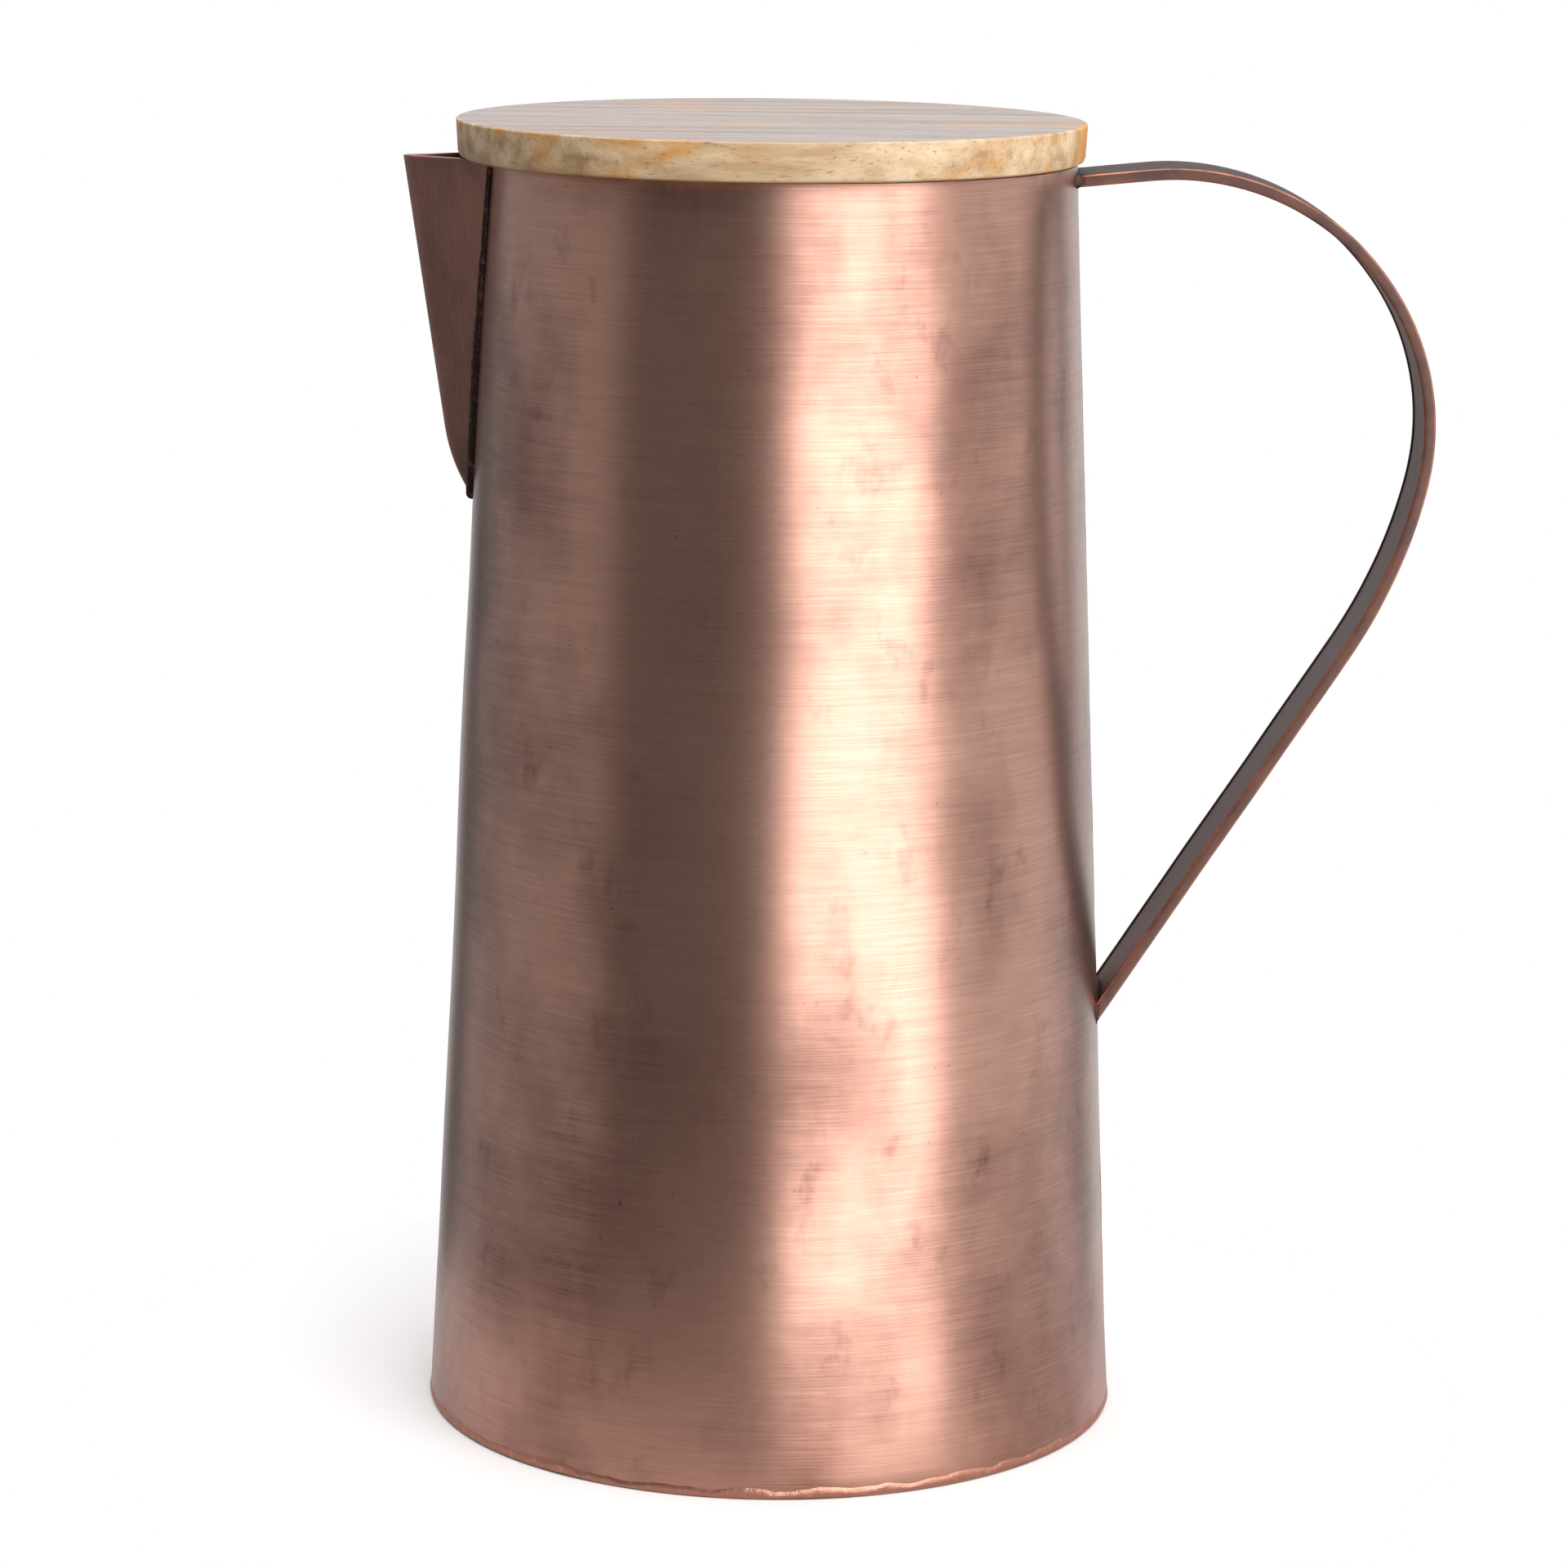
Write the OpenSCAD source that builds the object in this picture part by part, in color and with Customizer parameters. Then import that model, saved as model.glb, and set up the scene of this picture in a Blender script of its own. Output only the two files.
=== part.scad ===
// A tapered sheet-copper water jug: a rolled wall on a brazed base, a folded V spout,
// a handle folded as a shallow channel and closed by a strip, and a loose wooden lid.
// +Z is up, the handle points along +X, and the origin is the centre of the underside.

/* [Body] */
// Outer radius of the wall where it stands on the base
base_r = 64.6; // [60:0.2:70]
// Outer radius of the wall at the rim
rim_r = 53.7; // [53.5:0.1:54.5]
// Height of the rim above the table
body_h = 233.4; // [215:0.2:245]
// Thickness of the wall sheet
wall_t = 1.0; // [0.8:0.1:1.1]
// Thickness of the base disc
base_t = 1.2; // [1:0.1:2]

/* [Spout] */
// How far the spout's tip stands from the jug's axis
spout_reach = 69; // [68:0.5:72]
// Half of the angle between the spout's two plates, measured across the fold
spout_half_angle = 31; // [26:1:36]
// Outward lean of the fold line, from the vertical
spout_lean = 8.5; // [7:0.5:9]
// Outer radius of the fold between the plates
fold_r = 1.6; // [1.3:0.1:2.5]
// Thickness of the spout sheet
spout_t = 0.9; // [0.7:0.1:1.1]
// How far the tip stands above the rim
lip_rise = 0.2; // [0:0.1:0.5]

/* [Handle] */
// Width of the handle across its outer face
handle_w = 18; // [14:1:24]
// Thickness of the handle at its edges
handle_t = 2.1; // [1.9:0.1:3]
// Thickness of the sheet that the channel is folded from
channel_t = 0.8; // [0.5:0.1:0.9]

/* [Lid] */
// Radius of the lid's top disc
lid_r = 57.3; // [57:0.1:59]
// Thickness of the lid's top disc
lid_t = 7; // [6:0.5:9]
// Radius of the plug that keeps the lid in the mouth
plug_r = 50; // [48:0.5:50]
// Depth of the plug below the top disc
plug_t = 7; // [5:0.5:9]
// How far off centre the loose lid rests, towards the spout
lid_shift = 2; // [0:0.1:2]

/* [Hidden] */
$fn = 128;

// Clearance that lets a cutting shape pass right through a surface
eps = 1;
// The wall loses this much radius for each millimetre of height
taper = (base_r - rim_r) / body_h;
function wall_r(z) = base_r - taper * z;

// Side seam: the butt gap of the rolled wall, and how far its braze stands proud inside
seam_gap = 0.6;
seam_bead = 0.5;

// Base braze: how high it climbs on the wall and how far it stands out
base_bead_h = 2.6;
base_bead_t = 0.35;

// Spout: where the straight fold line ends, the radius of the toe below it, and its braze
toe_z = body_h - 49.4;
// Chords in each half of the fold's arc
fold_chords = 6;
toe_r = 32;
// The toe reaches this far past the fold line, so that the two cross and do not just touch
toe_overlap = 0.05;
spout_bead = 1;
// Mouth cut in the wall behind the spout
mouth_top_w = 13;
mouth_bottom_z = body_h - 53.4;
mouth_bottom_r = 1.4;

// Handle: how far below the rim its centreline leaves the wall, and its heading there
handle_drop = 2.6;
handle_heading = 5.6;
handle_z = body_h - handle_drop;
// Centreline from the rim down, as [length, turn in degrees]: straight, tight bend, easy bend, straight
handle_runs = [[13, 0], [91, -110.5], [32.5, -18], [104, 0]];
// Largest turn that one chord of a bend makes
handle_step = 3;
// Length that is run on at each end before the wall trims it, so that it also meets a narrower wall
handle_bury = 12;
// How far the closing strip sits below the channel's rims
strip_recess = 0.3;
// How far the braze spreads round the handle, and how far it climbs along it
handle_bead = 1.4;
handle_bead_climb = 2.6;

// Lid: gap over the rim, edge chamfers, and the taper of its side
lid_gap = 0.3;
lid_top_chamfer = 0.5;
lid_bottom_chamfer = 1;
lid_side_draft = 0.3;
plug_chamfer = 0.8;
lid_z = body_h + lid_gap;

copper = "#8c5f50";
braze = "#5a4038";
mango_wood = "#d8b98f";

// A cone that fills the jug to its outer surface, or past it by grow
module filled_body(grow = 0) {
    translate([0, 0, -eps])
        cylinder(h = body_h + 2 * eps, r1 = wall_r(-eps) + grow, r2 = wall_r(body_h + eps) + grow);
}

// Section of the wall, with a rounded rim
module wall_section() {
    top = body_h - wall_t / 2;
    polygon([[wall_r(base_t) - wall_t, base_t], [wall_r(base_t), base_t],
             [wall_r(top), top], [wall_r(top) - wall_t, top]]);
    translate([wall_r(top) - wall_t / 2, top]) circle(d = wall_t);
}

// Turns its children from the handle side to the spout side
module at_spout() {
    rotate([0, 0, 180]) children();
}

// The pouring mouth: a V cut from the rim down, with a rounded foot
module mouth_cutter() {
    at_spout() rotate([90, 0, 90]) linear_extrude(base_r + eps) {
        polygon([[-mouth_top_w / 2, body_h + eps], [mouth_top_w / 2, body_h + eps],
                 [mouth_bottom_r, mouth_bottom_z], [-mouth_bottom_r, mouth_bottom_z]]);
        translate([0, mouth_bottom_z]) circle(mouth_bottom_r);
    }
}

module body_wall() {
    color(copper) difference() {
        rotate_extrude() wall_section();
        mouth_cutter();
        translate([0, -seam_gap / 2, -eps]) cube([base_r + eps, seam_gap, body_h + 2 * eps]);
    }
}

// Braze that fills the wall's butt gap and stands a little proud inside
module side_seam_braze() {
    low = base_t;
    high = body_h - wall_t / 2;
    color(braze) intersection() {
        rotate_extrude()
            polygon([[wall_r(low) - wall_t - seam_bead, low], [wall_r(low), low],
                     [wall_r(high), high], [wall_r(high) - wall_t - seam_bead, high]]);
        translate([0, -seam_gap / 2, 0]) cube([base_r + eps, seam_gap, body_h]);
    }
}

module base_disc() {
    color(copper) cylinder(h = base_t, r = wall_r(base_t));
}

// Ring of braze over the joint between base and wall, dressed nearly flush
module base_braze() {
    inner = wall_r(base_t);
    color(braze) rotate_extrude()
        polygon([[inner, 0.2], [inner + base_bead_t, 0.6], [inner + base_bead_t, base_t],
                 [wall_r(base_bead_h) + base_bead_t / 2, base_bead_h - 0.3],
                 [wall_r(base_bead_h), base_bead_h], [inner, base_t]]);
}

// Section across the spout's fold, its apex at the origin and its plates running back along -X;
// inset shrinks it by that much all round, and a negative inset grows it
module fold_section(inset = 0) {
    back = 45;
    virtual_apex = fold_r / sin(spout_half_angle) - fold_r;
    half_w = (back + virtual_apex) * tan(spout_half_angle) - inset / cos(spout_half_angle);
    r = fold_r - inset;
    turn = 90 - spout_half_angle;
    arc = [for (i = [-fold_chords : fold_chords])
           let (a = turn * i / fold_chords) [r * cos(a) - fold_r, r * sin(a)]];
    polygon(concat([[-back, -half_w]], arc, [[-back, half_w]]));
}

// Side outline of the spout: everything above the toe, and the rounded toe itself
module toe_outline(inset = 0) {
    fold_x = spout_reach - (body_h - toe_z) * tan(spout_lean);
    from_fold = toe_r - toe_overlap;
    centre = [fold_x - from_fold * cos(spout_lean), toe_z + from_fold * sin(spout_lean)];
    translate(centre) {
        circle(toe_r - inset);
        rotate(-spout_lean) square([2 * toe_r, 3 * toe_r]);
        translate([-toe_r, 0]) square([2 * toe_r, 3 * toe_r]);
    }
}

// The spout as a filled wedge, before the wall trims it
module spout_wedge(inset = 0) {
    run_back = 80;
    at_spout() intersection() {
        translate([spout_reach, 0, body_h]) rotate([0, spout_lean, 0])
            translate([0, 0, -run_back]) linear_extrude(run_back + 3 * eps) fold_section(inset);
        translate([0, 50, 0]) rotate([90, 0, 0]) linear_extrude(100) toe_outline(inset);
    }
}

// Space above the spout's lip, which climbs from the rim to the tip
module above_lip(lift = 0) {
    rise_angle = atan(lip_rise / (spout_reach - rim_r));
    at_spout() translate([rim_r, 0, body_h + lift]) rotate([0, -rise_angle, 0])
        translate([-rim_r, -rim_r, 0]) cube([2 * rim_r, 2 * rim_r, 20]);
}

module spout() {
    color(copper) difference() {
        spout_wedge();
        spout_wedge(spout_t);
        filled_body();
        above_lip();
    }
}

// One bead of braze down both spout seams and under the toe
module spout_braze() {
    color(braze) difference() {
        intersection() {
            spout_wedge(-spout_bead);
            filled_body(spout_bead);
        }
        spout_wedge();
        filled_body();
        above_lip(-0.3);
    }
}

// The handle's bends cut into short chords, each as [length, turn]
handle_steps = [for (run = handle_runs)
                let (n = max(1, ceil(abs(run[1]) / handle_step))) for (k = [1 : n]) run / n];
function direction(a) = [cos(a), sin(a)];
// Centreline as [x, z, heading], walked from the rim down
handle_path = [for (i = 0, p = [wall_r(handle_z), handle_z], a = handle_heading;
                    i <= len(handle_steps);
                    p = i < len(handle_steps)
                        ? p + handle_steps[i][0] * direction(a + handle_steps[i][1] / 2) : p,
                    a = i < len(handle_steps) ? a + handle_steps[i][1] : a,
                    i = i + 1) [p[0], p[1], a]];

// A point of the centreline moved along its own heading
function run_on(q, length) = [q[0] + length * cos(q[2]), q[1] + length * sin(q[2]), q[2]];
// The centreline with its ends run on, shifted outwards by a signed distance
function beside(d) =
    let (first = handle_path[0], last = handle_path[len(handle_path) - 1])
    [for (q = concat([run_on(first, -handle_bury)], handle_path, [run_on(last, handle_bury)]))
        [q[0] - d * sin(q[2]), q[1] + d * cos(q[2])]];
function reversed(list) = [for (i = [len(list) - 1 : -1 : 0]) list[i]];

// A strip of that width that follows the handle between two distances from its centreline
module bent_strip(inner, outer, width) {
    translate([0, width / 2, 0]) rotate([90, 0, 0]) linear_extrude(width)
        polygon(concat(beside(outer), reversed(beside(inner))));
}

// The whole handle as one solid strip, grown by that much on all four sides
module handle_envelope(grow = 0) {
    half = handle_t / 2 + grow;
    bent_strip(-half, half, handle_w + 2 * grow);
}

// Outer web with a flange down each edge, open towards the jug
module handle_channel() {
    color(copper) difference() {
        handle_envelope();
        bent_strip(-handle_t, handle_t / 2 - channel_t, handle_w - 2 * channel_t);
        filled_body();
    }
}

// Strip laid in the channel, a little below its rims
module handle_inner_strip() {
    color(copper) difference() {
        bent_strip(strip_recess - handle_t / 2, handle_t / 2 - channel_t, handle_w - 2 * channel_t);
        filled_body();
    }
}

// Braze round the end of the handle that lies between two heights
module handle_braze(z_low, z_high) {
    color(braze) difference() {
        intersection() {
            handle_envelope(handle_bead);
            filled_body(handle_bead_climb);
            translate([0, -base_r, z_low]) cube([2 * base_r, 2 * base_r, z_high - z_low]);
        }
        handle_envelope();
        filled_body();
    }
}

module handle_braze_upper() {
    handle_braze(body_h / 2, body_h);
}

module handle_braze_lower() {
    handle_braze(0, body_h / 2);
}

// Turned disc with a shallow plug below it, in one piece of wood
module lid() {
    side_r = lid_r - lid_side_draft;
    color(mango_wood) translate([-lid_shift, 0, lid_z]) rotate_extrude()
        polygon([[0, -plug_t], [plug_r - plug_chamfer, -plug_t], [plug_r, plug_chamfer - plug_t],
                 [plug_r, 0], [side_r - lid_bottom_chamfer, 0], [side_r, lid_bottom_chamfer],
                 [lid_r, lid_t - lid_top_chamfer], [lid_r - lid_top_chamfer, lid_t], [0, lid_t]]);
}

body_wall();
side_seam_braze();
base_disc();
base_braze();
spout();
spout_braze();
handle_channel();
handle_inner_strip();
handle_braze_upper();
handle_braze_lower();
lid();
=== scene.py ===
# %% [markdown]
# # A sheet-copper water jug with a wooden lid
# The jug is a cone of copper sheet with a folded spout, a bent strap handle and a loose lid.
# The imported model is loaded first. It gives the places and sizes that every piece is built to.

# %% Load the frame
import math

import bmesh
import bpy
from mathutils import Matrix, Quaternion, Vector, noise


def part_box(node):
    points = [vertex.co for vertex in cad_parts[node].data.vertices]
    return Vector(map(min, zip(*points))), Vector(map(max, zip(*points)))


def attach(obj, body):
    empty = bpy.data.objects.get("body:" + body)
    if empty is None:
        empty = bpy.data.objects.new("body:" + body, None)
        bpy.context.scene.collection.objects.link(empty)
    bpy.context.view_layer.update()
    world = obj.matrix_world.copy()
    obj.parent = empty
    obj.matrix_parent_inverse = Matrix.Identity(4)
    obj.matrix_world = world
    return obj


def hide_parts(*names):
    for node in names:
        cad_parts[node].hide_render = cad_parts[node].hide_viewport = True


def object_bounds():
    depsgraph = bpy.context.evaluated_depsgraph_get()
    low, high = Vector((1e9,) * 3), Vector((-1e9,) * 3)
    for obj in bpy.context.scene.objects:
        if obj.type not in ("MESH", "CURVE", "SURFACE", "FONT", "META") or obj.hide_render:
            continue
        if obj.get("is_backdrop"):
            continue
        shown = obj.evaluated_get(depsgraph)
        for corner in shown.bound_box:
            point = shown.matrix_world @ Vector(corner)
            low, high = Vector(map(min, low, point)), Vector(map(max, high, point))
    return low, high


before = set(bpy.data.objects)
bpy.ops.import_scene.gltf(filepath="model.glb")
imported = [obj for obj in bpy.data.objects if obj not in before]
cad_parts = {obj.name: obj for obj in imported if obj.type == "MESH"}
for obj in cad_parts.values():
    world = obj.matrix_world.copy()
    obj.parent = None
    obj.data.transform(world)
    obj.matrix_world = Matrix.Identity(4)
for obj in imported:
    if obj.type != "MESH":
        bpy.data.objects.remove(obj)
cad_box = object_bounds()
MM = 0.001
print("model box in mm:", [[round(v / MM, 1) for v in point] for point in cad_box])

# %% [markdown]
# ## Camera
# A long lens from about 0.9 m looks a little down on the jug. Its small roll and shift set the jug
# in the frame as a hand-levelled camera would. There is no depth of field, so every edge stays sharp.

# %% Place the camera
CAMERA_PLACE = Vector((0, -902.4, 303.4)) * MM
CAMERA_PITCH = math.radians(11.67)
CAMERA_ROLL = math.radians(0.64)

camera_data = bpy.data.cameras.new("camera")
camera_data.sensor_width = 36
camera_data.lens = 113.3
camera_data.shift_x = 0.0053
camera_data.shift_y = 0.0011
camera_data.clip_start = 0.01
camera = bpy.data.objects.new("camera", camera_data)
bpy.context.scene.collection.objects.link(camera)
aim = Vector((0, math.cos(CAMERA_PITCH), -math.sin(CAMERA_PITCH)))
camera.rotation_mode = "QUATERNION"
camera.rotation_quaternion = Quaternion(aim, -CAMERA_ROLL) @ aim.to_track_quat("-Z", "Y")
camera.location = CAMERA_PLACE
bpy.context.scene.camera = camera
print("camera stands at", [round(v, 3) for v in camera.location])

# %% [markdown]
# ## Colour and node helpers
# Colours are written as sRGB hex values, and one function turns them to the linear values that a
# shader works in. One more function adds a node with its settings and links, so that each material
# reads as a list of steps. A Mix node has several inputs called A and B, so the ones that take
# colours are named here by their place in the node.

# %% Helpers for materials
SHARE = 0
COLOUR_A = 6
COLOUR_B = 7
MIXED = 2


def colour(hex_value):
    channels = [int(hex_value[i:i + 2], 16) / 255 for i in (1, 3, 5)]
    return [c / 12.92 if c <= 0.04045 else ((c + 0.055) / 1.055) ** 2.4 for c in channels] + [1]


def add(tree, kind, inputs=None, **settings):
    made = tree.nodes.new(kind)
    for name, value in settings.items():
        setattr(made, name, value)
    for name, value in (inputs or {}).items():
        if isinstance(value, bpy.types.NodeSocket):
            tree.links.new(value, made.inputs[name])
        else:
            made.inputs[name].default_value = value
    return made


def new_material(name):
    material = bpy.data.materials.new(name)
    material.use_nodes = True
    material.node_tree.nodes.clear()
    return material, material.node_tree


print("copper rose is", [round(v, 3) for v in colour("#d9a08c")])

# %% [markdown]
# ## Studio
# The jug stands on a small round white table in a white room. Metal shows what stands round it, so
# the lights are big soft panels: the bright band on the jug is the key panel, the fainter ones are
# weak fills at the sides, and the dark band is the gap between two panels. The camera looks down
# and the wall leans back, so the jug mirrors what lies just below the table's level. The panels
# therefore hang lower than the table, and the table is small. The table shows grey to the metal, so
# that the foot does not glow. A panel overhead lights the table and the lid, and a panel behind the
# jug gives the lid its pale sheen.

# %% Table and lights
TABLE_R = 0.13
# The table lies this far below the base, so that the two faces are not in one plane.
TABLE_GAP = 0.05 * MM
# Every upright panel hangs between these heights.
PANEL_FOOT = -0.9
PANEL_TOP = 2.0


def soft_panel(name, centre, size, brightness, tilt, turn=0.0):
    """A flat lamp. Its brightness is the value that a mirror would show."""
    data = bpy.data.lights.new(name, "AREA")
    data.shape = "RECTANGLE"
    data.size, data.size_y = size
    data.energy = brightness * math.pi * size[0] * size[1]
    panel = bpy.data.objects.new(name, data)
    bpy.context.scene.collection.objects.link(panel)
    panel.location = centre
    panel.rotation_euler = (tilt, 0, turn)


def standing_panel(name, bearing, spread, distance, brightness):
    """An upright panel. Bearings are degrees from the camera towards the handle."""
    turn = math.radians(bearing)
    width = 2 * distance * math.tan(math.radians(spread / 2))
    centre = (distance * math.sin(turn), -distance * math.cos(turn), (PANEL_FOOT + PANEL_TOP) / 2)
    soft_panel(name, centre, (width, PANEL_TOP - PANEL_FOOT), brightness, math.radians(90), turn)


mesh = bpy.data.meshes.new("table")
shape = bmesh.new()
bmesh.ops.create_circle(shape, cap_ends=True, radius=TABLE_R, segments=128)
shape.to_mesh(mesh)
shape.free()
table = bpy.data.objects.new("table", mesh)
table.location.z = -TABLE_GAP
bpy.context.scene.collection.objects.link(table)
table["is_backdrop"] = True
table_paint, tree = new_material("white_table_paint")
ray = add(tree, "ShaderNodeLightPath")
paint = add(tree, "ShaderNodeMix",
            {SHARE: ray.outputs["Is Glossy Ray"], COLOUR_A: colour("#f0f0f0"),
             COLOUR_B: colour("#bcb4b3")}, data_type="RGBA")
surface = add(tree, "ShaderNodeBsdfPrincipled",
              {"Base Color": paint.outputs[MIXED], "Roughness": 0.9})
add(tree, "ShaderNodeOutputMaterial", {"Surface": surface.outputs[0]})
mesh.materials.append(table_paint)

standing_panel("key_panel", bearing=32, spread=54, distance=1.6, brightness=3.0)
standing_panel("left_panel", bearing=-100, spread=76, distance=1.5, brightness=0.24)
standing_panel("right_panel", bearing=96, spread=66, distance=1.5, brightness=0.66)
standing_panel("back_panel", bearing=171, spread=66, distance=1.6, brightness=0.55)
soft_panel("top_panel", (0, 0, 1.9), (2.6, 2.6), 2.6, 0)

world = bpy.data.worlds.new("white_room")
bpy.context.scene.world = world
world.use_nodes = True
tree = world.node_tree
tree.nodes.clear()
room = add(tree, "ShaderNodeBackground", {"Color": colour("#f2f2f4"), "Strength": 0.14})
backdrop = add(tree, "ShaderNodeBackground", {"Color": colour("#ffffff"), "Strength": 1.0})
seen = add(tree, "ShaderNodeLightPath")
mix = add(tree, "ShaderNodeMixShader",
          {0: seen.outputs["Is Camera Ray"], 1: room.outputs[0], 2: backdrop.outputs[0]})
add(tree, "ShaderNodeOutputWorld", {"Surface": mix.outputs[0]})
bpy.context.scene.view_settings.view_transform = "Standard"

# %% [markdown]
# ## Brushed, patinated copper
# The sheet was darkened chemically and then brushed, so bright lines show through a brown film.
# The lines run round the body and along the spout. Stretching a noise a long way in one direction
# draws them. Slow clouds make the film thicker in places, where the copper is darker and duller.
# Copper is a metal, so its colour is all in the reflection and the index stays at its default.
# An attribute, heat, says how much each point of the wall and the spout is darkened:
# by the brazing of a nearby joint, and near the foot and the spout's joint also by painted shade.

# %% Noise patterns
# Real brushing lines are too fine to show, so they are drawn as wide as they need to be.
LINE_LENGTH = 15 * MM
LINE_WIDTH = 0.2 * MM
BAND_WIDTH = 2.2 * MM
CLOUD_SIZE = 34 * MM
SMUDGE_SIZE = 8 * MM
PIT_SIZE = 1.2 * MM
SCRATCH_DEPTH = 0.06 * MM


def mapped_noise(tree, place, size, detail, roughness, low, high, top=1.0):
    """A noise of that size along each axis, whose range from low to high becomes 0 to top."""
    stretched = add(tree, "ShaderNodeMapping",
                    {"Vector": place, "Scale": [1 / length for length in size]})
    pattern = add(tree, "ShaderNodeTexNoise",
                  {"Vector": stretched.outputs[0], "Scale": 1.0, "Detail": detail,
                   "Roughness": roughness})
    share = add(tree, "ShaderNodeMapRange",
                {"Value": pattern.outputs[0], "From Min": low, "From Max": high, "To Max": top})
    return share.outputs[0]


print("brushed lines are", round(LINE_WIDTH / MM, 2), "mm wide")

# %% [markdown]
# The body and the spout share one recipe. Their colours and the way of their lines differ.

# %% Brushed copper
def patinated_copper(name, bright, film, long_way, film_share, roughness):
    """The brushed lines run along every axis that has a 1 in long_way."""
    material, tree = new_material(name)
    place = add(tree, "ShaderNodeTexCoord").outputs["Object"]
    fine = [LINE_LENGTH if way else LINE_WIDTH for way in long_way]
    wide = [2 * LINE_LENGTH if way else BAND_WIDTH for way in long_way]
    lines = mapped_noise(tree, place, fine, detail=4.0, roughness=0.65,
                         low=0.3, high=0.7, top=0.34)
    bands = mapped_noise(tree, place, wide, detail=4.0, roughness=0.55,
                         low=0.4, high=0.75, top=0.08)
    clouds = mapped_noise(tree, place, [CLOUD_SIZE, CLOUD_SIZE, CLOUD_SIZE / 0.7],
                          detail=6.0, roughness=0.55, low=0.42, high=0.68, top=0.55)
    smudges = mapped_noise(tree, place, [SMUDGE_SIZE, SMUDGE_SIZE, SMUDGE_SIZE / 0.6],
                           detail=3.0, roughness=0.6, low=0.6, high=0.78, top=0.35)
    pits = mapped_noise(tree, place, [PIT_SIZE] * 3, detail=1.0, roughness=0.5,
                        low=0.78, high=0.84, top=0.6)
    share = film_share
    for part in (lines, bands, clouds, smudges, pits):
        share = add(tree, "ShaderNodeMath", {0: share, 1: part},
                    operation="ADD", use_clamp=True).outputs[0]
    filmed = add(tree, "ShaderNodeMix",
                 {SHARE: share, COLOUR_A: colour(bright), COLOUR_B: colour(film)},
                 data_type="RGBA")
    # Brazing heat leaves the copper beside a joint a dull purple-brown; near the foot and the spout
    # it is also painted shade.
    heat = add(tree, "ShaderNodeAttribute", attribute_name="heat")
    tint = add(tree, "ShaderNodeMix",
               {SHARE: heat.outputs["Fac"], COLOUR_A: filmed.outputs[MIXED],
                COLOUR_B: colour("#6a4c4b")}, data_type="RGBA")
    dull = add(tree, "ShaderNodeMapRange",
               {"Value": share, "To Min": roughness, "To Max": roughness + 0.14})
    relief = add(tree, "ShaderNodeBump",
                 {"Height": lines, "Strength": 0.4, "Distance": SCRATCH_DEPTH})
    # Lines that run round the jug scatter light up and down, which is a quarter turn from the
    # tangent that circles the axis. A thin clear lacquer adds the whitest part of the highlights.
    round_axis = add(tree, "ShaderNodeTangent", direction_type="RADIAL", axis="Z")
    metal = add(tree, "ShaderNodeBsdfPrincipled",
                {"Base Color": tint.outputs[MIXED], "Metallic": 1.0, "Roughness": dull.outputs[0],
                 "Anisotropic": 0.7, "Anisotropic Rotation": 0.25, "Coat Weight": 0.9,
                 "Coat Roughness": 0.32, "Tangent": round_axis.outputs[0],
                 "Normal": relief.outputs[0]})
    add(tree, "ShaderNodeOutputMaterial", {"Surface": metal.outputs[0]})
    return material


body_copper = patinated_copper("copper_brushed_round", bright="#dba792", film="#76493b",
                               long_way=(1, 1, 0), film_share=0.04, roughness=0.3)
spout_copper = patinated_copper("copper_brushed_lengthwise", bright="#b9826f", film="#6a4640",
                                long_way=(0, 0, 1), film_share=0.08, roughness=0.34)
print("brushed copper:", body_copper.name, "and", spout_copper.name)

# %% [markdown]
# ## Handle copper
# The handle took the darkest film, and use has rubbed its edges back to bright orange copper. Each
# handle piece carries an attribute, wear, that is 1 on its edges and 0 on its flats. Blotches break
# the worn edges up, as real wear is never even, and faint rubbed streaks run along the strip. The
# strip that closes the handle inside is duller, with a rougher finish, and paler: partly a lighter
# film, partly painted light on a face that the lamps leave dim.

# %% Worn copper
BLOTCH_SIZE = 6 * MM
STREAK_LENGTH = 14 * MM
STREAK_WIDTH = 0.7 * MM
DENT_DEPTH = 0.1 * MM


def worn_copper(name, film, worn, roughness):
    material, tree = new_material(name)
    place = add(tree, "ShaderNodeTexCoord").outputs["Object"]
    blotches = add(tree, "ShaderNodeTexNoise",
                   {"Vector": place, "Scale": 1 / BLOTCH_SIZE, "Detail": 6.0, "Roughness": 0.65})
    rubbed = mapped_noise(tree, place, [STREAK_LENGTH, STREAK_WIDTH, STREAK_LENGTH],
                          detail=5.0, roughness=0.6, low=0.45, high=0.75, top=0.1)
    wear = add(tree, "ShaderNodeAttribute", attribute_name="wear")
    patchy = add(tree, "ShaderNodeMapRange",
                 {"Value": blotches.outputs[0], "From Min": 0.3, "From Max": 0.6,
                  "To Min": 0.25, "To Max": 1.0})
    edges = add(tree, "ShaderNodeMath", {0: wear.outputs["Fac"], 1: patchy.outputs[0]},
                operation="MULTIPLY", use_clamp=True)
    share = add(tree, "ShaderNodeMath", {0: edges.outputs[0], 1: rubbed},
                operation="ADD", use_clamp=True)
    tint = add(tree, "ShaderNodeMix",
               {SHARE: share.outputs[0], COLOUR_A: colour(film), COLOUR_B: colour(worn)},
               data_type="RGBA")
    uneven = add(tree, "ShaderNodeMapRange",
                 {"Value": blotches.outputs[0], "To Min": roughness - 0.06,
                  "To Max": roughness + 0.1})
    relief = add(tree, "ShaderNodeBump",
                 {"Height": blotches.outputs[0], "Strength": 0.25, "Distance": DENT_DEPTH})
    metal = add(tree, "ShaderNodeBsdfPrincipled",
                {"Base Color": tint.outputs[MIXED], "Metallic": 1.0,
                 "Roughness": uneven.outputs[0], "Specular Tint": colour("#f0eae8"),
                 "Normal": relief.outputs[0]})
    add(tree, "ShaderNodeOutputMaterial", {"Surface": metal.outputs[0]})
    return material


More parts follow.
